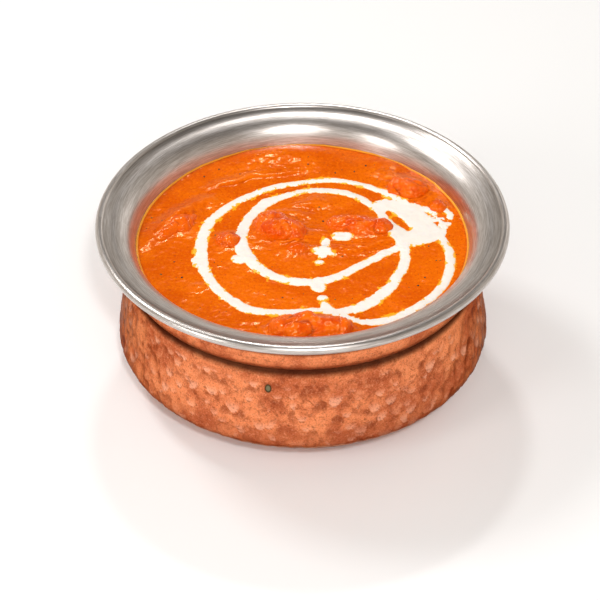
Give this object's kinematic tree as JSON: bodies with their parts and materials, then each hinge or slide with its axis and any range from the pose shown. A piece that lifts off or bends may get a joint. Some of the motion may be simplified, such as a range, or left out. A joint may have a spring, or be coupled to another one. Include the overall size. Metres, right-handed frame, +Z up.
{
  "type": "bowl of butter chicken curry",
  "caption": "Hammered copper serving bowl with a flared steel liner, filled with butter chicken curry under a thin cream swirl.",
  "frame": {"origin": "middle of the flat base, on the surface that the bowl stands on", "axes": "+Z up along the turning axis of the bowl; -Y towards the near side of the serving, with +X to its right"},
  "size_m": [0.165, 0.165, 0.071],
  "materials": {
    "copper": "hammered copper, unpolished",
    "steel": "turned and brushed stainless steel",
    "sauce": "smooth glossy tomato and butter sauce",
    "chicken": "chicken pieces coated in sauce",
    "cream": "pouring cream"
  },
  "bodies": {
    "root": {"copper_bowl": "copper", "steel_lip": "steel", "steel_liner": "steel", "curry_sauce": "sauce", "chicken_near": "chicken", "chicken_centre": "chicken", "chicken_long": "chicken", "chicken_far": "chicken", "chicken_left": "chicken", "chicken_ridge": "chicken", "chicken_middle": "chicken", "chicken_edge": "chicken"}
  },
  "joints": []
}
